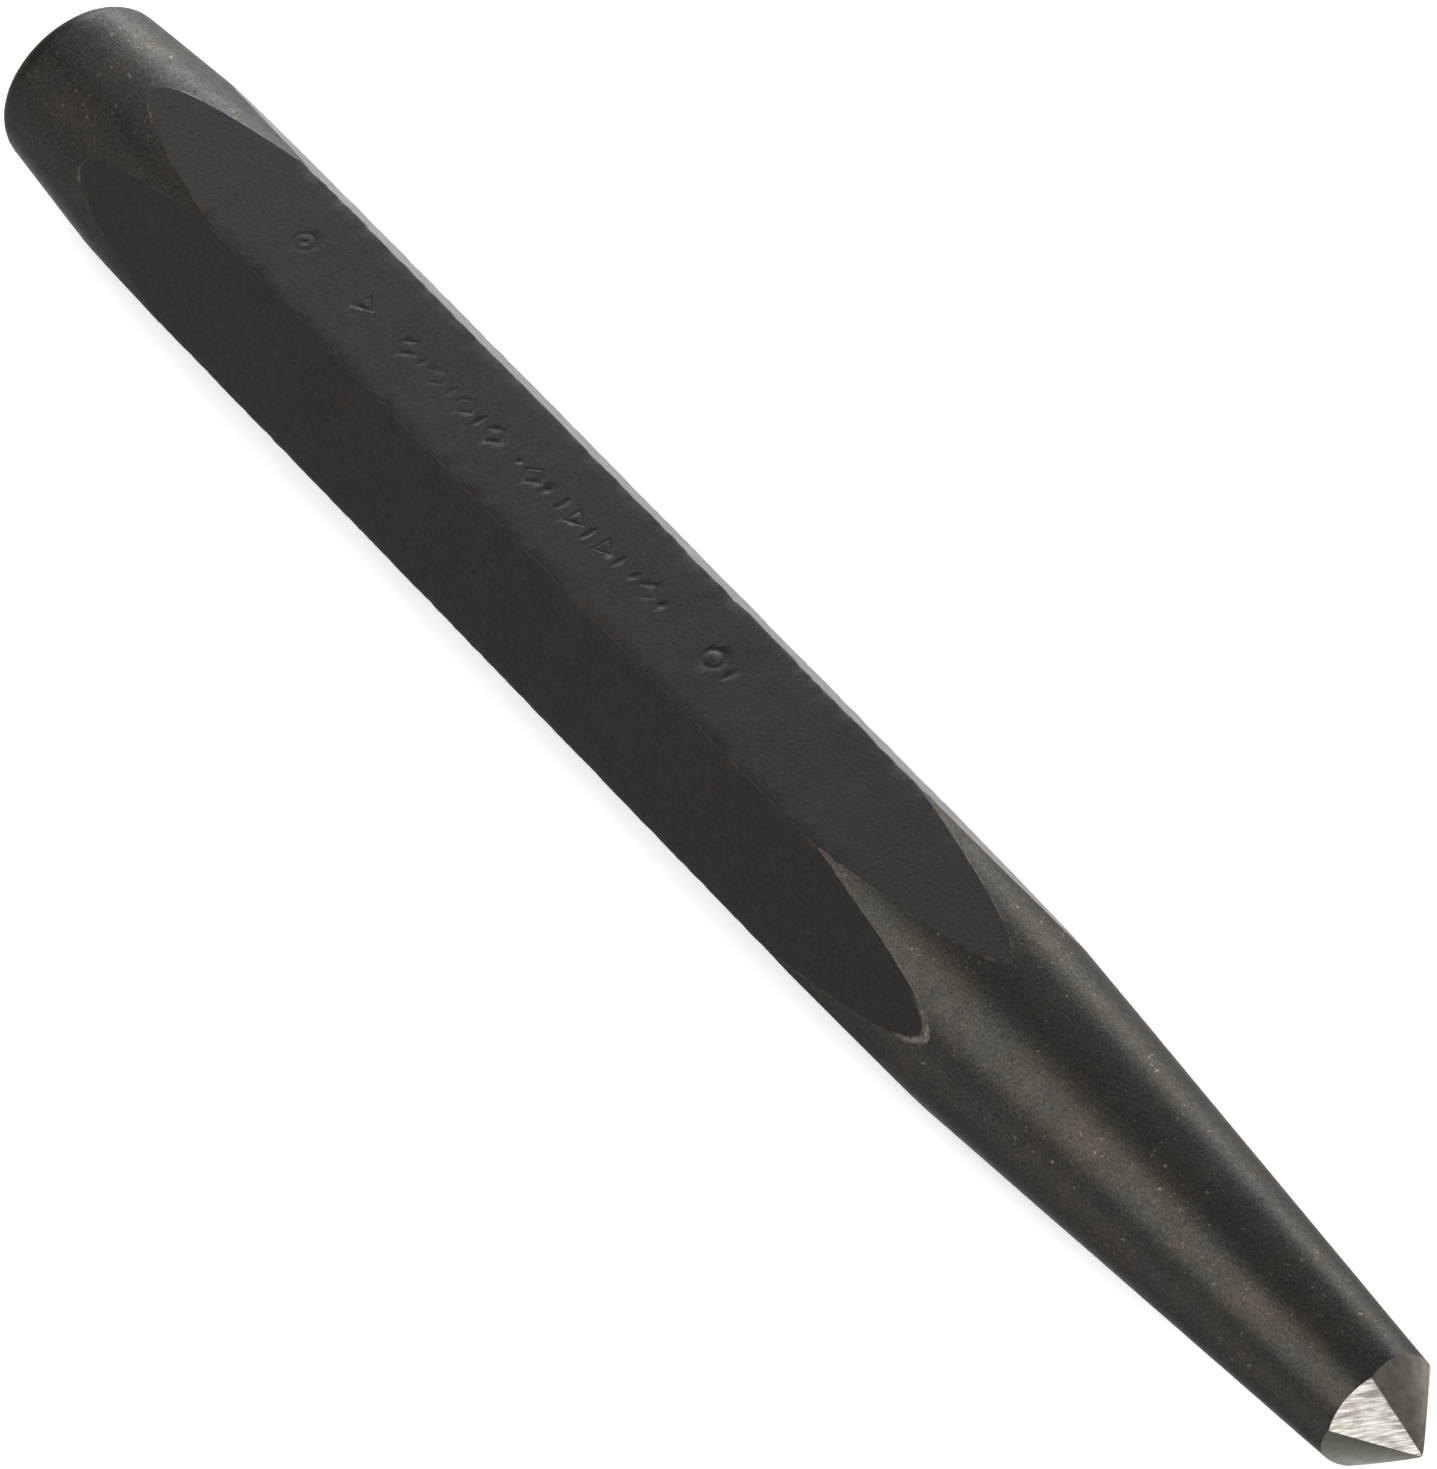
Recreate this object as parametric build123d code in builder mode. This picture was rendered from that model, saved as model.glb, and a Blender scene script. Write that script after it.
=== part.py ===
from build123d import *
import os
from math import cos, radians, sin, tan

os.makedirs("parts", exist_ok=True)

# ---------------------------------------------------------------- sizes, mm
# A centre punch in one piece: hexagonal bar, turned round at both ends.
# It lies on one flat of the hexagon, head towards -X and point towards +X.
# The origin is on that flat, half way along the punch.

overall_length = 160.5       # struck face to the blunt end of the point

across_flats = 15.875        # 5/8 inch hexagonal tool steel bar
arris_radius = 0.25          # the rolled corner of the bar

head_diameter = 13.8        # where the head's cone would meet the struck face
head_half_angle = 5.2        # degrees, the cone that takes the corners off the head
head_edge_radius = 2.2       # round edge of the struck face, so that it doesn't chip

shank_diameter = 9.65        # the round taper where the ground point begins
taper_half_angle = 4.25      # degrees, the long taper from the bar to the point

point_half_angle = 42.5      # degrees, down the middle of each wide ground facet
wide_facets = 4
wide_facet_flatness = 3.5    # how far a wide facet's own axis lies beyond the punch's axis
narrow_facet_angle = 60      # degrees round the axis that are left to the one narrow facet
narrow_facet_turn = 131.2    # degrees, where the narrow facet faces, up from level
narrow_half_angle = 44.4     # degrees, down the middle of the narrow facet
narrow_facet_flatness = 1.2  # how far the narrow facet's own axis lies beyond the punch's
point_end_width = 0.3        # the blunt end of the point, across two facets

# ---------------------------------------------------------------- places

axis_height = across_flats / 2
head_x = -overall_length / 2
end_x = overall_length / 2

corner_radius = across_flats / 2 / cos(radians(30))
turning_radius = corner_radius + 1.0      # clear of the bar's corners
head_radius = head_diameter / 2
shank_radius = shank_diameter / 2

head_slope = tan(radians(head_half_angle))
taper_slope = tan(radians(taper_half_angle))
point_slope = tan(radians(point_half_angle))
narrow_slope = tan(radians(narrow_half_angle))

head_cone_end_x = head_x + (turning_radius - head_radius) / head_slope
sharp_x = end_x + point_end_width / 2 / point_slope
shank_end_x = sharp_x - shank_radius / point_slope
taper_start_x = shank_end_x - (turning_radius - shank_radius) / taper_slope
end_radius = shank_radius - (end_x - shank_end_x) * taper_slope

head_plane = Plane(origin=(head_x, 0, axis_height), x_dir=(0, 1, 0), z_dir=(1, 0, 0))
axial_plane = Plane(origin=(0, 0, axis_height), x_dir=(1, 0, 0), z_dir=(0, -1, 0))
punch_axis = Axis((0, 0, axis_height), (1, 0, 0))

# ---------------------------------------------------------------- the punch

with BuildPart() as centre_punch:
    # the bar, flats level above and below
    with BuildSketch(head_plane) as bar_section:
        RegularPolygon(across_flats / 2, 6, major_radius=False)
        fillet(bar_section.vertices(), radius=arris_radius)
    extrude(amount=overall_length)

    # both ends turned round: the head's cone with its round edge, and the long taper
    with BuildSketch(axial_plane) as turned_profile:
        with BuildLine():
            Polyline(
                (head_x, 0),
                (head_x, head_radius),
                (head_cone_end_x, turning_radius),
                (taper_start_x, turning_radius),
                (end_x, end_radius),
                (end_x, 0),
                close=True,
            )
        make_face()
        head_corner = turned_profile.vertices().group_by(Axis.X)[0].sort_by(Axis.Y)[-1]
        fillet(head_corner, radius=head_edge_radius)
    revolve(axis=punch_axis, mode=Mode.INTERSECT)

    # the point: each facet is part of a cone whose axis lies beyond the punch's own axis,
    # and all the cones run through the same sharp point just beyond the blunt end
    facets = [(narrow_facet_turn, narrow_facet_flatness, narrow_slope)]
    wide_facet_angle = (360 - narrow_facet_angle) / wide_facets
    for wide_facet in range(wide_facets):
        first_turn = narrow_facet_turn + narrow_facet_angle / 2 + wide_facet_angle / 2
        turn = first_turn + wide_facet * wide_facet_angle
        facets.append((turn, wide_facet_flatness, point_slope))
    for turn, flatness, slope in facets:
        facet_end_radius = flatness + (sharp_x - end_x) * slope
        facet_head_radius = facet_end_radius + overall_length * slope
        facet_axis_y = -flatness * cos(radians(turn))
        facet_axis_z = axis_height - flatness * sin(radians(turn))
        with Locations(Plane(origin=(0, facet_axis_y, facet_axis_z), z_dir=(1, 0, 0))):
            Cone(facet_head_radius, facet_end_radius, overall_length, mode=Mode.INTERSECT)

centre_punch.part.label = "centre_punch"
export_step(centre_punch.part, "parts/centre_punch.step")
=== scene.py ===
from math import atan2, cos, hypot, pi, radians, sin, tan

import bpy
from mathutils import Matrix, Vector


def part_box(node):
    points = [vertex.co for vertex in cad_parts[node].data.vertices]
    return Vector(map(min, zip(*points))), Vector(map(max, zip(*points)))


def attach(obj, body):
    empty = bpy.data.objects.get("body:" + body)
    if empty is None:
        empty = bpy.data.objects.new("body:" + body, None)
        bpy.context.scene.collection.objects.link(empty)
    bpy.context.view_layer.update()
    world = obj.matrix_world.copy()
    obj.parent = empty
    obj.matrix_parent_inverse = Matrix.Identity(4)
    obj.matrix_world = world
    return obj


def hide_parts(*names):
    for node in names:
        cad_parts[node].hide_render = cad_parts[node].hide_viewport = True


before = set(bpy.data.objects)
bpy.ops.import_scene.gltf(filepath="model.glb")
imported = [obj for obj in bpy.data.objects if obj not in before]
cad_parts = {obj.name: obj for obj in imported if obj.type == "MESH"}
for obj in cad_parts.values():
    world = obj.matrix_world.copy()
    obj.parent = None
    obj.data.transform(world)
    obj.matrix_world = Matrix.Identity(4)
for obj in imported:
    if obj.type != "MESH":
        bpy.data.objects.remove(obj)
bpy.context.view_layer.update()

MM = 0.001

# ---------------------------------------------------------------- sizes
# The punch lies along X on one flat, with its head towards -X and its point towards +X.

low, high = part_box("centre_punch")
LENGTH = high.x - low.x
ACROSS_FLATS = high.z - low.z
AXIS_HEIGHT = low.z + ACROSS_FLATS / 2
HEAD_X = low.x
END_X = high.x

CORNER_RADIUS = ACROSS_FLATS / 2 / cos(radians(30))
ARRIS_RADIUS = 0.25 * MM

HEAD_RADIUS = 6.9 * MM           # where the head's cone would meet the struck face
HEAD_SLOPE = tan(radians(5.2))
HEAD_EDGE = 2.2 * MM             # round edge of the struck face

SHANK_RADIUS = 4.825 * MM        # the taper where the ground point begins
TAPER_SLOPE = tan(radians(4.25))

POINT_SLOPE = tan(radians(42.5))
POINT_END = 0.15 * MM            # half the width of the blunt end
WIDE_FACETS = 4
WIDE_FLATNESS = 3.5 * MM         # how far a wide facet's own axis lies beyond the punch's axis
NARROW_ANGLE = 60                # degrees round the axis that are left to the narrow facet
NARROW_TURN = 131.2              # degrees, where the narrow facet faces, up from level
NARROW_SLOPE = tan(radians(44.4))
NARROW_FLATNESS = 1.2 * MM
SHARP_X = END_X + POINT_END / POINT_SLOPE
SHANK_END = SHARP_X - SHANK_RADIUS / POINT_SLOPE
SCRATCH_SLANT = 37               # degrees, the grinding scratches from the facet's centre line

CLEAR = 1.0 * MM                 # a cutter's margin around what it doesn't cut
GROUND_LENGTH = 14 * MM          # how far back the grinding cones reach, well past the rim
BACK_STEP = 0.1 * MM             # between the cones' back ends
TURNING_RADIUS = CORNER_RADIUS + CLEAR
STAMP_LIFT = 0.012 * MM          # the stamps' middles above the flat at its highest
RING_STROKE = 0.27 * MM          # half the width of a ring's line
RING_DEPTH = 0.06 * MM           # half its height
RING_SIZE = 1.7 * MM             # across the middle of its line
DOT_RATIO = 1.3                  # how many times as wide and high as a ring's line a dot is
BAR_RATIO = 1.15                 # and a bar
BAR_LENGTH = 2.0 * MM


# ---------------------------------------------------------------- finishes


def colour(code):
    """An sRGB hex code as a linear colour with full alpha."""
    parts = [int(code[i:i + 2], 16) / 255 for i in (0, 2, 4)]
    return tuple(
        part / 12.92 if part <= 0.04045 else ((part + 0.055) / 1.055) ** 2.4 for part in parts
    ) + (1,)


def fill_sockets(tree, node, sockets):
    """Links each socket that is given another node's output, and sets the others."""
    for name, value in sockets.items():
        index = int(name[1:]) if name[1:].isdigit() else name.replace("_", " ")
        socket = node.inputs[index]
        if isinstance(value, bpy.types.NodeSocket):
            tree.links.new(value, socket)
        else:
            socket.default_value = value


def add_node(tree, kind, settings=None, output=0, **sockets):
    """Adds a node with its settings and links and gives its output; i7 is the socket number 7."""
    node = tree.nodes.new(kind)
    for name, value in (settings or {}).items():
        setattr(node, name, value)
    fill_sockets(tree, node, sockets)
    return node.outputs[output]


def start_material(name):
    """A new material, its node tree, its shader, and the place on the object."""
    material = bpy.data.materials.new(name)
    material.use_nodes = True
    tree = material.node_tree
    place = add_node(tree, "ShaderNodeTexCoord", output="Object")
    return material, tree, tree.nodes["Principled BSDF"], place


NOISE = "ShaderNodeTexNoise"
RANGE = "ShaderNodeMapRange"
MIX = "ShaderNodeMix"
MATH = "ShaderNodeMath"
VECTOR_MATH = "ShaderNodeVectorMath"
IN_COLOUR = {"data_type": "RGBA"}


def blacked_rolled_steel():
    """Carbon steel bar as rolled, blackened in a hot oxide bath and oiled.

    Its skin is near black with a dull sheen, browner in patches and a little scuffed on the
    corners.
    On one side, where the flats run out on the taper, a light rim is a painted highlight standing
    for a burr that catches the light. The grain is far coarser than the oxide's crystals.
    """
    material, tree, shader, place = start_material("blacked_rolled_steel")
    clouds = add_node(tree, NOISE, Vector=place, Scale=1 / (6 * MM), Detail=4, Roughness=0.6)
    spots = add_node(tree, NOISE, Vector=place, Scale=1 / (1.5 * MM), Detail=3, Roughness=0.6)
    grain = add_node(tree, NOISE, Vector=place, Scale=1 / (0.3 * MM), Detail=3, Roughness=0.6)

    cloudy = add_node(tree, RANGE, Value=clouds, From_Min=0.42, From_Max=0.66)
    skin = add_node(tree, MIX, IN_COLOUR, 2, i0=cloudy, i6=colour("222223"), i7=colour("252321"))
    brown = add_node(tree, RANGE, Value=spots, From_Min=0.58, From_Max=0.8, To_Max=0.5)
    skin = add_node(tree, MIX, IN_COLOUR, 2, i0=brown, i6=skin, i7=colour("2c221e"))
    grainy = add_node(tree, RANGE, Value=grain, From_Min=0.35, From_Max=0.75, To_Max=0.3)
    skin = add_node(tree, MIX, IN_COLOUR, 2, i0=grainy, i6=skin, i7=colour("383736"))

    centred = add_node(
        tree, VECTOR_MATH, {"operation": "SUBTRACT"}, i0=place, i1=(0, 0, AXIS_HEIGHT)
    )
    across = add_node(tree, VECTOR_MATH, {"operation": "MULTIPLY"}, i0=centred, i1=(0, 1, 1))
    from_axis = add_node(tree, VECTOR_MATH, {"operation": "LENGTH"}, "Value", i0=across)
    corner = add_node(
        tree, RANGE, Value=from_axis,
        From_Min=CORNER_RADIUS - 0.22 * MM, From_Max=CORNER_RADIUS - 0.08 * MM,
    )
    patchy = add_node(tree, RANGE, Value=spots, From_Min=0.45, From_Max=0.7, To_Max=0.7)
    wear_and_edge_highlight = add_node(tree, MATH, {"operation": "MULTIPLY"}, i0=corner, i1=patchy)
    skin = add_node(tree, MIX, IN_COLOUR, 2, i0=wear_and_edge_highlight, i6=skin, i7=colour("332e29"))

    # Painted highlight: a light rim on the -Y side, where the flats run out on the taper, stands
    # for a burr that catches the light.
    along = add_node(tree, "ShaderNodeSeparateXYZ", Vector=place)
    taper_radius = add_node(
        tree, MATH, {"operation": "MULTIPLY_ADD"},
        i0=along, i1=-TAPER_SLOPE, i2=SHANK_RADIUS + SHANK_END * TAPER_SLOPE,
    )
    from_taper = add_node(tree, MATH, {"operation": "SUBTRACT"}, i0=taper_radius, i1=from_axis)
    at_rim = add_node(
        tree, RANGE, Value=from_taper, From_Min=0.085 * MM, From_Max=0.05 * MM, To_Max=0.8
    )
    flat_end = SHANK_END - (ACROSS_FLATS / 2 - SHANK_RADIUS) / TAPER_SLOPE
    near_end = add_node(
        tree, RANGE, Value=along, From_Min=flat_end - 3 * MM, From_Max=flat_end - 1.2 * MM
    )
    one_side = add_node(
        tree, RANGE, Value=add_node(tree, "ShaderNodeSeparateXYZ", output="Y", Vector=place),
        From_Min=-4 * MM, From_Max=-5 * MM,
    )
    scuffs_and_rim_highlight = add_node(tree, MATH, {"operation": "MULTIPLY"}, i0=at_rim, i1=near_end)
    scuffs_and_rim_highlight = add_node(tree, MATH, {"operation": "MULTIPLY"}, i0=scuffs_and_rim_highlight, i1=one_side)
    broken = add_node(tree, RANGE, Value=grain, From_Min=0.4, From_Max=0.6, To_Min=0.3)
    scuffs_and_rim_highlight = add_node(tree, MATH, {"operation": "MULTIPLY"}, i0=scuffs_and_rim_highlight, i1=broken)
    skin = add_node(tree, MIX, IN_COLOUR, 2, i0=scuffs_and_rim_highlight, i6=skin, i7=colour("6e675c"))

    sheen = add_node(
        tree, RANGE, Value=spots, From_Min=0.3, From_Max=0.7, To_Min=0.4, To_Max=0.5
    )
    bump = add_node(tree, "ShaderNodeBump", Height=grain, Distance=0.02 * MM, Strength=0.7)
    fill_sockets(tree, shader, {
        "Base Color": skin, "Roughness": sheen, "Metallic": 1, "Normal": bump,
    })
    return material


def blacked_turned_steel():
    """The same steel, turned on a lathe before the oxide bath.

    It is smoother and a little greyer, with fine bright specks where handling has scuffed it, and
    faint lighter lines on the edges of the flats, which are painted highlights standing for burrs
    that catch the light. The grain is far coarser than the oxide's.
    """
    material, tree, shader, place = start_material("blacked_turned_steel")
    clouds = add_node(tree, NOISE, Vector=place, Scale=1 / (5 * MM), Detail=4, Roughness=0.6)
    spots = add_node(tree, NOISE, Vector=place, Scale=1 / (1.3 * MM), Detail=3, Roughness=0.6)
    specks = add_node(tree, NOISE, Vector=place, Scale=1 / (0.45 * MM), Detail=3, Roughness=0.6)
    grain = add_node(tree, NOISE, Vector=place, Scale=1 / (0.2 * MM), Detail=3, Roughness=0.6)

    cloudy = add_node(tree, RANGE, Value=clouds, From_Min=0.4, From_Max=0.65)
    skin = add_node(tree, MIX, IN_COLOUR, 2, i0=cloudy, i6=colour("272727"), i7=colour("2d2a27"))
    grainy = add_node(tree, RANGE, Value=grain, From_Min=0.35, From_Max=0.7, To_Max=0.5)
    skin = add_node(tree, MIX, IN_COLOUR, 2, i0=grainy, i6=skin, i7=colour("47443f"))
    scuffs_and_rim_highlight = add_node(tree, RANGE, Value=specks, From_Min=0.64, From_Max=0.78, To_Max=0.6)
    in_patches = add_node(tree, RANGE, Value=clouds, From_Min=0.42, From_Max=0.6, To_Min=0.15)
    scuffs_and_rim_highlight = add_node(tree, MATH, {"operation": "MULTIPLY"}, i0=scuffs_and_rim_highlight, i1=in_patches)
    skin = add_node(tree, MIX, IN_COLOUR, 2, i0=scuffs_and_rim_highlight, i6=skin, i7=colour("8a847a"))

    # Painted highlight: faint lighter lines along the edges of the flats stand for burrs that catch
    # the light.
    centred = add_node(
        tree, VECTOR_MATH, {"operation": "SUBTRACT"}, i0=place, i1=(0, 0, AXIS_HEIGHT)
    )
    up = add_node(tree, "ShaderNodeSeparateXYZ", output="Z", Vector=centred)
    sideways = add_node(tree, "ShaderNodeSeparateXYZ", output="Y", Vector=centred)
    turn = add_node(tree, MATH, {"operation": "ARCTAN2"}, i0=up, i1=sideways)
    past_corner = add_node(tree, MATH, {"operation": "SNAP"}, i0=turn, i1=radians(60))
    flat_turn = add_node(tree, MATH, {"operation": "ADD"}, i0=past_corner, i1=radians(30))
    turn_back = add_node(tree, MATH, {"operation": "MULTIPLY"}, i0=flat_turn, i1=-1)
    beside_flat = add_node(
        tree, "ShaderNodeVectorRotate", {"rotation_type": "X_AXIS"},
        Vector=centred, Angle=turn_back,
    )
    from_middle = add_node(tree, "ShaderNodeSeparateXYZ", output="Y", Vector=beside_flat)
    edge = add_node(
        tree, RANGE, Value=from_middle,
        From_Min=ACROSS_FLATS / 2 - 0.08 * MM, From_Max=ACROSS_FLATS / 2 - 0.03 * MM,
    )
    patchy = add_node(tree, RANGE, Value=spots, From_Min=0.48, From_Max=0.66, To_Max=0.22)
    wear_and_edge_highlight = add_node(tree, MATH, {"operation": "MULTIPLY"}, i0=edge, i1=patchy)
    skin = add_node(tree, MIX, IN_COLOUR, 2, i0=wear_and_edge_highlight, i6=skin, i7=colour("8c8474"))

    sheen = add_node(
        tree, RANGE, Value=spots, From_Min=0.3, From_Max=0.7, To_Min=0.36, To_Max=0.44
    )
    bump = add_node(tree, "ShaderNodeBump", Height=grain, Distance=0.015 * MM, Strength=0.8)
    fill_sockets(tree, shader, {
        "Base Color": skin, "Roughness": sheen, "Metallic": 1, "Normal": bump,
        "Specular Tint": (0.48, 0.48, 0.48, 1),
    })
    return material


def ground_tool_steel():
    """Bare hardened tool steel, its facets ground on a wheel.

    The narrow facet was dressed last and shines, with slanting scratches; the wide ones are older
    and have gone a dull olive grey, and those that face down are darker with painted shade. The
    scratches are drawn wider than a wheel's grit leaves them.
    """
    material, tree, shader, place = start_material("ground_tool_steel")
    centred = add_node(
        tree, VECTOR_MATH, {"operation": "SUBTRACT"}, i0=place, i1=(0, 0, AXIS_HEIGHT)
    )
    on_facet = add_node(
        tree, "ShaderNodeVectorRotate", {"rotation_type": "X_AXIS"},
        Vector=centred, Angle=-radians(NARROW_TURN),
    )
    out = add_node(tree, "ShaderNodeSeparateXYZ", output="Y", Vector=on_facet)
    round_axis = add_node(tree, "ShaderNodeSeparateXYZ", output="Z", Vector=on_facet)
    turn = add_node(tree, MATH, {"operation": "ARCTAN2"}, i0=round_axis, i1=out)
    is_fresh = add_node(
        tree, MATH, {"operation": "COMPARE"}, i0=turn, i1=0, i2=radians(NARROW_ANGLE / 2)
    )
    is_under = add_node(tree, MATH, {"operation": "GREATER_THAN"}, i0=turn, i1=0)

    slanted = add_node(
        tree, "ShaderNodeMapping", Vector=on_facet, Rotation=(0, radians(SCRATCH_SLANT), 0)
    )
    stretched = add_node(tree, "ShaderNodeMapping", Vector=slanted, Scale=(1, 0.1, 0.05))
    scratches = add_node(
        tree, NOISE, Vector=stretched, Scale=1 / (0.12 * MM), Detail=3, Roughness=0.6
    )
    smudges = add_node(tree, NOISE, Vector=place, Scale=1 / (0.8 * MM), Detail=3, Roughness=0.6)

    scored = add_node(tree, RANGE, Value=scratches, From_Min=0.38, From_Max=0.6)
    fresh = add_node(tree, MIX, IN_COLOUR, 2, i0=scored, i6=colour("9c988f"), i7=colour("e2dfd8"))
    smudged = add_node(tree, RANGE, Value=smudges, From_Min=0.5, From_Max=0.7, To_Max=0.4)
    fresh = add_node(tree, MIX, IN_COLOUR, 2, i0=smudged, i6=fresh, i7=colour("8c8270"))

    stained = add_node(tree, RANGE, Value=smudges, From_Min=0.4, From_Max=0.7)
    # Painted shade: the wide facets that face down get a darker copy of the dull colour.
    upper = add_node(tree, MIX, IN_COLOUR, 2, i0=stained, i6=colour("7a766a"), i7=colour("68625a"))
    shaded_under = add_node(tree, MIX, IN_COLOUR, 2, i0=stained, i6=colour("47463d"), i7=colour("3b3a31"))
    dull = add_node(tree, MIX, IN_COLOUR, 2, i0=is_under, i6=upper, i7=shaded_under)
    steel = add_node(tree, MIX, IN_COLOUR, 2, i0=is_fresh, i6=dull, i7=fresh)

    sheen = add_node(
        tree, RANGE, Value=scratches, From_Min=0.3, From_Max=0.7, To_Min=0.3, To_Max=0.42
    )
    bump = add_node(tree, "ShaderNodeBump", Height=scratches, Distance=0.012 * MM, Strength=0.8)
    fill_sockets(tree, shader, {
        "Base Color": steel, "Roughness": sheen, "Metallic": 1, "Normal": bump,
    })
    return material


def lit_white_acrylic():
    """Cast white acrylic sheet, polished, with light coming up through it.

    It mirrors the punch softly, and its own light makes the shadow faint.
    """
    material = bpy.data.materials.new("lit_white_acrylic")
    material.use_nodes = True
    tree = material.node_tree
    fill_sockets(tree, tree.nodes["Principled BSDF"], {
        "Base Color": colour("f3f3f3"), "Roughness": 0.15, "IOR": 1.49,
        "Emission Color": colour("ffffff"), "Emission Strength": 0.2,
    })
    return material


# ---------------------------------------------------------------- modelling helpers


def select_only(piece):
    bpy.ops.object.select_all(action="DESELECT")
    piece.select_set(True)
    bpy.context.view_layer.objects.active = piece


def select_in_mesh(piece, vertices=None, edges=None, faces=None):
    """Selects the vertices, edges or faces for which a test holds, and leaves edit mode on."""
    if bpy.context.mode == "OBJECT":
        select_only(piece)
        bpy.ops.object.mode_set(mode="EDIT")
    mode = "VERT" if vertices else "EDGE" if edges else "FACE"
    bpy.ops.mesh.select_mode(type=mode)
    bpy.ops.mesh.select_all(action="DESELECT")
    bpy.ops.object.mode_set(mode="OBJECT")
    mesh = piece.data
    if vertices:
        for vertex in mesh.vertices:
            vertex.select = vertices(vertex.co)
    if edges:
        for edge in mesh.edges:
            edge.select = edges(*(mesh.vertices[i].co for i in edge.vertices))
    if faces:
        for face in mesh.polygons:
            face.select = faces(face)
    bpy.ops.object.mode_set(mode="EDIT")


def apply_modifier(piece, kind, **settings):
    select_only(piece)
    modifier = piece.modifiers.new(kind.lower(), kind)
    for name, value in settings.items():
        setattr(modifier, name, value)
    bpy.ops.object.modifier_apply(modifier=modifier.name)


def apply_place(piece):
    select_only(piece)
    bpy.ops.object.transform_apply(location=True, rotation=True, scale=True)


def boolean(piece, operation, cutter):
    apply_modifier(
        piece,
        "BOOLEAN",
        operation=operation,
        object=cutter,
        solver="EXACT",
        material_mode="TRANSFER",
    )
    bpy.data.objects.remove(cutter)


def group_vertices(piece, name, weight_at):
    """Gives each vertex its weight in a group of that name."""
    group = piece.vertex_groups.new(name=name)
    for vertex in piece.data.vertices:
        weight = weight_at(vertex.co)
        if weight > 0:
            group.add([vertex.index], weight, "REPLACE")


def roughen(
    piece, grain, depth, direction="NORMAL", middle=1.0, contrast=1.0, bright=1.0, group="",
):
    """Moves a surface unevenly, in lumps of about the grain's size, over a range of the depth."""
    texture = bpy.data.textures.new("lumps", "CLOUDS")
    texture.noise_scale = grain
    texture.noise_depth = 2
    texture.contrast = contrast
    texture.intensity = bright
    texture.use_clamp = True
    apply_modifier(
        piece,
        "DISPLACE",
        texture=texture,
        texture_coords="LOCAL",
        direction=direction,
        mid_level=middle,
        strength=depth,
        vertex_group=group,
    )


# ---------------------------------------------------------------- the punch


def make_bar(finish, end_finish):
    """The hexagonal bar, its corners rolled round, its flats and corners a little uneven."""
    flat_cuts = 9
    length_cuts = (15, 24)
    bpy.ops.mesh.primitive_circle_add(
        vertices=6,
        radius=CORNER_RADIUS,
        fill_type="NGON",
        location=(HEAD_X - CLEAR, 0, AXIS_HEIGHT),
        rotation=(0, pi / 2, 0),
    )
    bar = bpy.context.object
    apply_place(bar)
    bpy.ops.object.mode_set(mode="EDIT")
    bpy.ops.mesh.select_all(action="SELECT")
    bpy.ops.mesh.bevel(
        offset=ARRIS_RADIUS * tan(radians(30)), segments=4, affect="VERTICES"
    )
    long_side = CORNER_RADIUS / 2
    select_in_mesh(bar, edges=lambda a, b: (a - b).length > long_side)
    bpy.ops.mesh.subdivide(number_cuts=flat_cuts)
    bpy.ops.mesh.select_all(action="SELECT")
    bpy.ops.mesh.extrude_region_move(
        TRANSFORM_OT_translate={"value": (END_X - HEAD_X + CLEAR, 0, 0)}
    )
    for cuts in length_cuts:
        select_in_mesh(bar, edges=lambda a, b: abs(a.x - b.x) > CLEAR / 10)
        bpy.ops.mesh.subdivide(number_cuts=cuts)
    bpy.ops.mesh.select_all(action="SELECT")
    bpy.ops.mesh.normals_make_consistent(inside=False)
    bpy.ops.object.mode_set(mode="OBJECT")
    bar.data.materials.append(finish)
    bar.data.materials.append(end_finish)
    select_in_mesh(bar, faces=lambda face: face.center.x > END_X - CLEAR / 10)
    bar.active_material_index = 1
    bpy.ops.object.material_slot_assign()
    bpy.ops.object.mode_set(mode="OBJECT")

    def at_corner(place):
        return hypot(place.y, place.z - AXIS_HEIGHT) > CORNER_RADIUS - ARRIS_RADIUS

    def at_side_corner(place):
        return at_corner(place) and abs(place.y) > CORNER_RADIUS - ARRIS_RADIUS

    def at_other_corner(place):
        return at_corner(place) and not at_side_corner(place)

    group_vertices(bar, "corners", at_corner)
    group_vertices(bar, "side_corners", at_side_corner)
    group_vertices(bar, "other_corners", at_other_corner)
    roughen(bar, grain=9 * MM, depth=0.06 * MM)
    roughen(bar, grain=2.2 * MM, depth=0.16 * MM, direction="Y", middle=0.5, group="other_corners")
    roughen(bar, grain=2.2 * MM, depth=0.08 * MM, direction="Z", middle=0.5, group="side_corners")
    roughen(bar, grain=1.1 * MM, depth=0.07 * MM, contrast=2.5, bright=1.3, group="corners")
    return bar


def turned_profile():
    """Stations (x, radius) from the struck face to past the end of the point."""
    head_angle = atan2(HEAD_SLOPE, 1)
    face_radius = HEAD_RADIUS + HEAD_EDGE * (HEAD_SLOPE - 1 / cos(head_angle))
    edge_steps = 8
    stations = []
    for step in range(edge_steps + 1):
        angle = (pi / 2 - head_angle) * step / edge_steps
        stations.append((
            HEAD_X + HEAD_EDGE * (1 - cos(angle)),
            face_radius + HEAD_EDGE * sin(angle),
        ))
    cone_start = stations[-1][0]
    cone_end = HEAD_X + (TURNING_RADIUS - HEAD_RADIUS) / HEAD_SLOPE
    cone_steps = 24
    for step in range(1, cone_steps + 1):
        x = cone_start + (cone_end - cone_start) * step / cone_steps
        stations.append((x, HEAD_RADIUS + (x - HEAD_X) * HEAD_SLOPE))
    taper_start = SHANK_END - (TURNING_RADIUS - SHANK_RADIUS) / TAPER_SLOPE
    taper_end = END_X + CLEAR
    taper_steps = 72
    for step in range(taper_steps + 1):
        x = taper_start + (taper_end - taper_start) * step / taper_steps
        stations.append((x, SHANK_RADIUS + (SHANK_END - x) * TAPER_SLOPE))
    return stations


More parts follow.
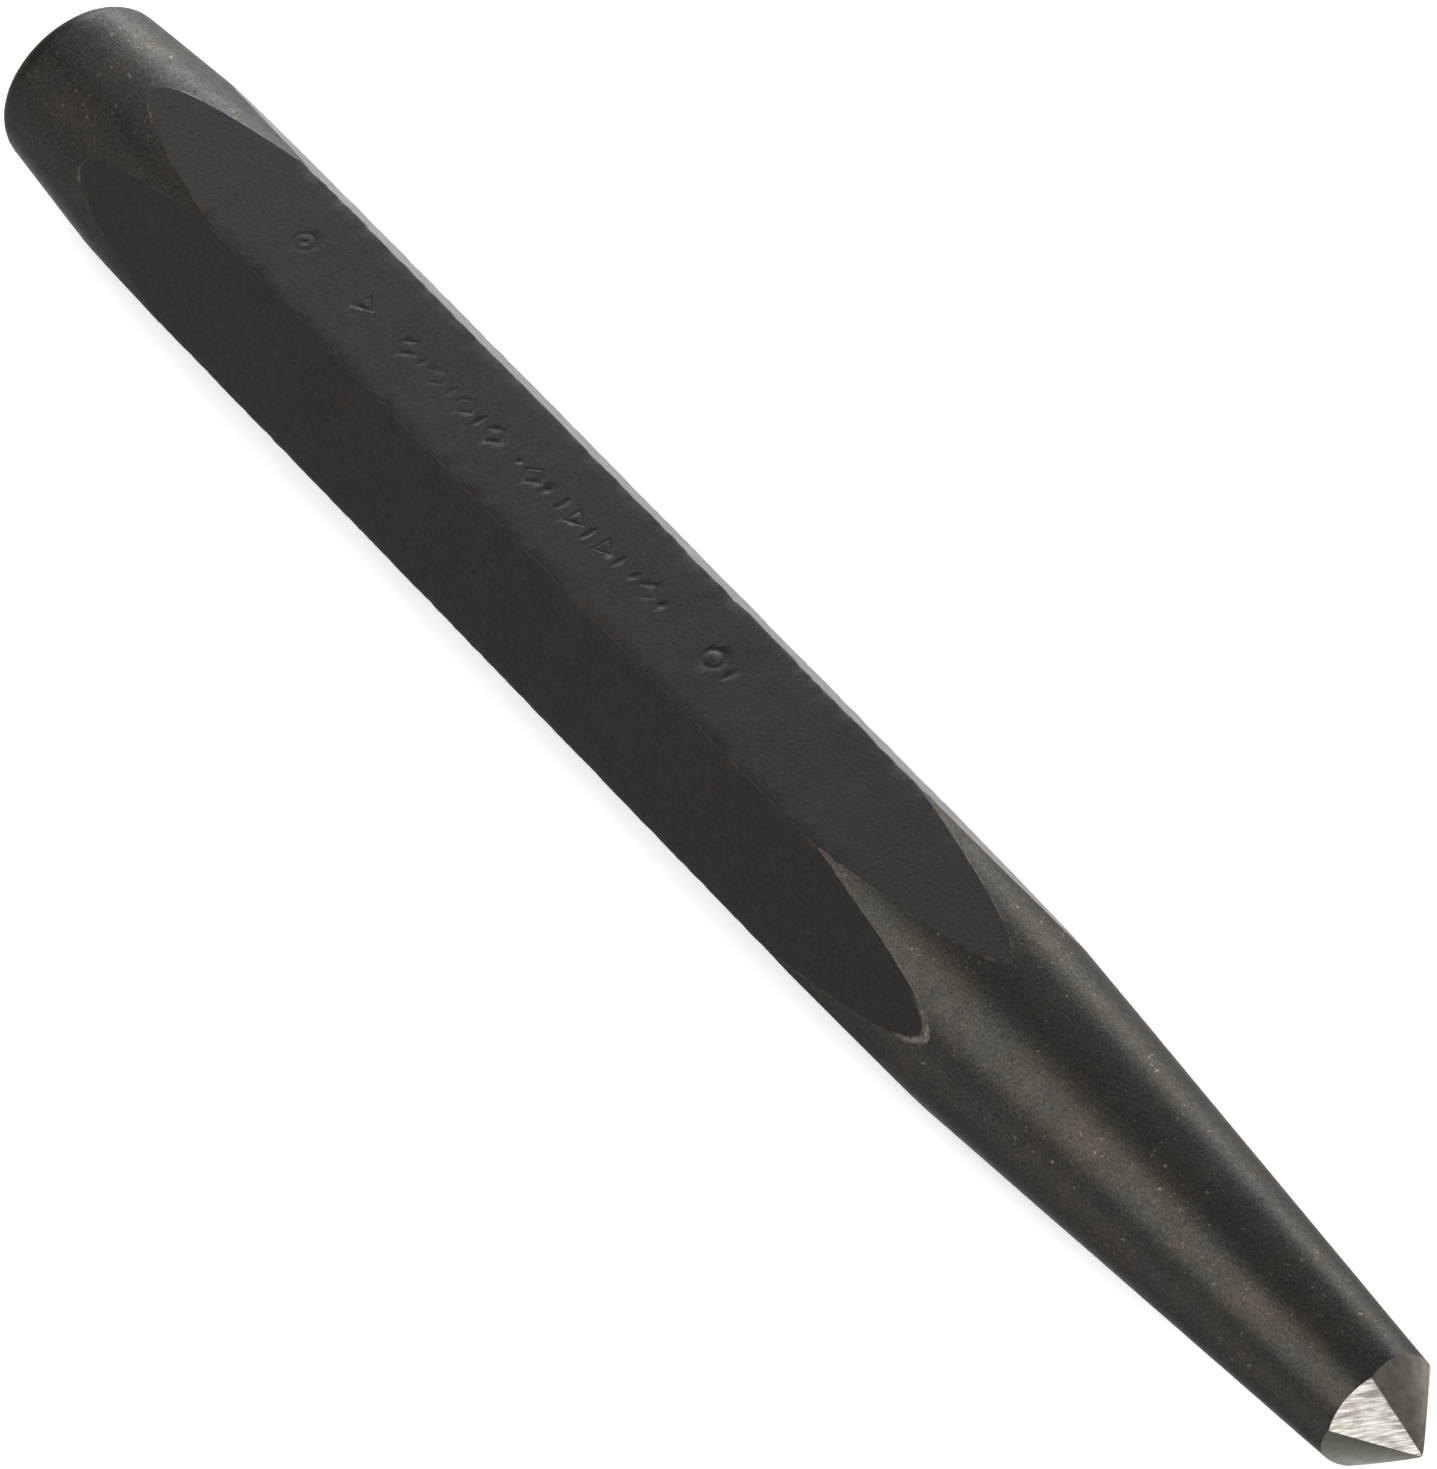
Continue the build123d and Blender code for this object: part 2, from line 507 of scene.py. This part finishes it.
def make_turned_blank(finish):
    """What the lathe leaves: the struck face's round edge, the head's cone and the long taper."""
    stations = turned_profile()
    x, radius = stations[0]
    bpy.ops.mesh.primitive_circle_add(
        vertices=192,
        radius=radius,
        fill_type="NGON",
        location=(x, 0, AXIS_HEIGHT),
        rotation=(0, pi / 2, 0),
    )
    blank = bpy.context.object
    apply_place(blank)
    bpy.ops.object.mode_set(mode="EDIT")
    bpy.ops.mesh.select_mode(type="FACE")
    bpy.ops.mesh.select_all(action="SELECT")
    for next_x, next_radius in stations[1:]:
        bpy.ops.mesh.extrude_region_move(
            TRANSFORM_OT_translate={"value": (next_x - x, 0, 0)}
        )
        scale = next_radius / radius
        bpy.ops.transform.resize(value=(1, scale, scale))
        x, radius = next_x, next_radius
    bpy.ops.mesh.select_all(action="SELECT")
    bpy.ops.mesh.normals_make_consistent(inside=False)
    bpy.ops.object.mode_set(mode="OBJECT")
    blank.data.materials.append(finish)
    roughen(blank, grain=6 * MM, depth=0.03 * MM)
    return blank


def make_ground_blank(finish):
    """One narrow facet and four wide ones, each part of a cone with its axis beyond the punch's.

    Each cone starts a little further back than the one before, so that no two ends are level.
    """
    wide_angle = (360 - NARROW_ANGLE) / WIDE_FACETS
    facets = [(NARROW_TURN, NARROW_FLATNESS, NARROW_SLOPE)]
    for wide_facet in range(WIDE_FACETS):
        turn = NARROW_TURN + (NARROW_ANGLE + wide_angle) / 2 + wide_facet * wide_angle
        facets.append((turn, WIDE_FLATNESS, POINT_SLOPE))
    back_x = END_X - GROUND_LENGTH
    blank = None
    for number, (turn, flatness, slope) in enumerate(facets):
        apex_x = SHARP_X + flatness / slope
        depth = apex_x - back_x + number * BACK_STEP
        bpy.ops.mesh.primitive_cone_add(
            vertices=144,
            radius1=depth * slope,
            radius2=0,
            depth=depth,
            location=(
                apex_x - depth / 2,
                -flatness * cos(radians(turn)),
                AXIS_HEIGHT - flatness * sin(radians(turn)),
            ),
            rotation=(0, pi / 2, 0),
        )
        cone = bpy.context.object
        apply_place(cone)
        cone.data.materials.append(finish)
        if blank is None:
            blank = cone
        else:
            boolean(blank, "INTERSECT", cone)
    near_back = back_x + BACK_STEP / 2
    select_in_mesh(blank, faces=lambda face: face.center.x < near_back and face.normal.x < -0.9)
    bpy.ops.mesh.extrude_region_move(TRANSFORM_OT_translate={"value": (-LENGTH, 0, 0)})
    bpy.ops.object.mode_set(mode="OBJECT")
    return blank


def add_stamp(kind, x):
    """One tool of the stamping set: a dot, a bar across, or a ring with as many sides as kind says.

    Its working edge is a flat oval, so that it leaves a shallow, soft-edged mark.
    """
    place = (x, 0, high.z + STAMP_LIFT)
    squash = RING_DEPTH / RING_STROKE
    if kind == "dot":
        bpy.ops.mesh.primitive_uv_sphere_add(
            segments=20,
            ring_count=12,
            radius=DOT_RATIO * RING_STROKE,
            location=place,
            scale=(1, 1, squash),
        )
    elif kind == "bar":
        bpy.ops.mesh.primitive_uv_sphere_add(
            segments=24,
            ring_count=12,
            radius=BAR_RATIO * RING_STROKE,
            location=place,
            scale=(1, BAR_LENGTH / RING_STROKE / (2 * BAR_RATIO), squash),
        )
    else:
        bpy.ops.mesh.primitive_torus_add(
            major_segments=kind,
            minor_segments=20,
            major_radius=RING_SIZE / 2,
            minor_radius=RING_STROKE,
            location=place,
        )
        bpy.context.object.scale = (1, 1, squash)
    stamp = bpy.context.object
    apply_place(stamp)
    return stamp


def make_stamps(finish):
    """The row of stamped marks along the upper flat."""
    stamps = []
    ring, lozenge, triangle = 24, 4, 3
    # Each group's first place along X and the step to the next mark, both in mm, and its marks.
    groups = (
        (-50.2, 1.5, (ring,)),
        (-50.2, 1.5, ("dot",)),
        (-42.6, 1.9, (triangle,)),
        (-37.4, 1.75, (lozenge, "bar", lozenge, "bar", lozenge, "bar", lozenge)),
        (-23.8, 1.7, (
            "dot", lozenge, "dot", "bar", triangle, "bar", triangle, "bar", "dot", lozenge, "dot",
        )),
        (-0.6, 1.9, (ring, "bar")),
    )
    for start, pitch, kinds in groups:
        for number, kind in enumerate(kinds):
            stamps.append(add_stamp(kind, (start + number * pitch) * MM))
    select_only(stamps[0])
    for stamp in stamps:
        stamp.select_set(True)
    bpy.ops.object.join()
    stamps = bpy.context.object
    stamps.data.materials.append(finish)
    return stamps


def mark_finish_edges(piece):
    """Keeps the edge sharp where one finish meets another."""
    select_only(piece)
    bpy.ops.object.mode_set(mode="EDIT")
    for slot in range(len(piece.data.materials)):
        bpy.ops.mesh.select_mode(type="FACE")
        bpy.ops.mesh.select_all(action="DESELECT")
        piece.active_material_index = slot
        bpy.ops.object.material_slot_select()
        bpy.ops.mesh.region_to_loop()
        bpy.ops.mesh.mark_sharp()
    bpy.ops.object.mode_set(mode="OBJECT")


def make_punch():
    rolled = blacked_rolled_steel()
    turned = blacked_turned_steel()
    ground = ground_tool_steel()
    punch = make_bar(rolled, ground)
    boolean(punch, "INTERSECT", make_turned_blank(turned))
    boolean(punch, "INTERSECT", make_ground_blank(ground))
    boolean(punch, "DIFFERENCE", make_stamps(rolled))
    mark_finish_edges(punch)
    select_only(punch)
    bpy.ops.object.shade_smooth_by_angle(angle=radians(24), keep_sharp_edges=True)
    apply_modifier(punch, "WEIGHTED_NORMAL", keep_sharp=True)
    punch.name = "punch"
    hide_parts("centre_punch")
    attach(punch, "root")


make_punch()


# ---------------------------------------------------------------- camera, lights, floor


def add_camera():
    """A long lens that looks steeply down from the point's end, without roll."""
    azimuth, elevation = radians(53.2), radians(50.0)
    distance = 1022 * MM
    aim_lift = 0.13 * MM             # above the punch's middle, to centre it in the view
    aim = (low + high) / 2 + Vector((0, 0, aim_lift))
    back = Vector((
        sin(azimuth) * cos(elevation),
        -cos(azimuth) * cos(elevation),
        sin(elevation),
    ))
    data = bpy.data.cameras.new("camera")
    data.sensor_width = 36
    data.lens = 351.4
    data.clip_start = 0.01
    data.clip_end = 20
    camera = bpy.data.objects.new("camera", data)
    bpy.context.scene.collection.objects.link(camera)
    camera.location = aim + back * distance
    camera.rotation_euler = (-back).to_track_quat("-Z", "Y").to_euler()
    bpy.context.scene.camera = camera


add_camera()


def add_light(name, place, size, power, tint):
    """A softbox that faces the origin; its power is in watts."""
    data = bpy.data.lights.new(name, "AREA")
    data.shape = "RECTANGLE"
    data.size, data.size_y = size
    data.energy = power
    data.color = tint
    light = bpy.data.objects.new(name, data)
    bpy.context.scene.collection.objects.link(light)
    light.location = Vector(place)
    light.rotation_euler = (-Vector(place)).to_track_quat("-Z", "Y").to_euler()


def add_floor():
    """A white acrylic sheet on a light table, so that the shadow is faint."""
    bpy.ops.mesh.primitive_plane_add(size=6, location=(0, 0, 0))
    floor = bpy.context.object
    floor.name = "floor"
    floor.data.materials.append(lit_white_acrylic())


add_floor()
add_light("key_softbox", (0.8, -0.56, 1.25), (1.0, 1.0), 17, (1, 1, 1))
add_light("front_softbox", (-0.375, -0.9, 0.76), (0.75, 1.05), 11, (1, 0.96, 0.91))
add_light("upper_left_softbox", (-0.85, 0.3, 0.9), (1.1, 0.7), 3.6, (0.97, 0.98, 1))
add_light("back_left_softbox", (-0.92, 0.72, 0.24), (0.6, 0.4), 14, (0.86, 0.93, 1))
add_light("back_softbox", (-0.35, 1.1, 0.26), (0.9, 0.4), 10, (0.98, 0.98, 0.97))
add_light("right_softbox", (0.94, -0.66, 0.36), (0.5, 0.4), 0.9, (1, 0.98, 0.95))

world = bpy.data.worlds.new("studio")
bpy.context.scene.world = world
world.use_nodes = True
world.node_tree.nodes["Background"].inputs["Color"].default_value = (1, 1, 1, 1)
world.node_tree.nodes["Background"].inputs["Strength"].default_value = 0.45
bpy.context.scene.view_settings.view_transform = "Standard"
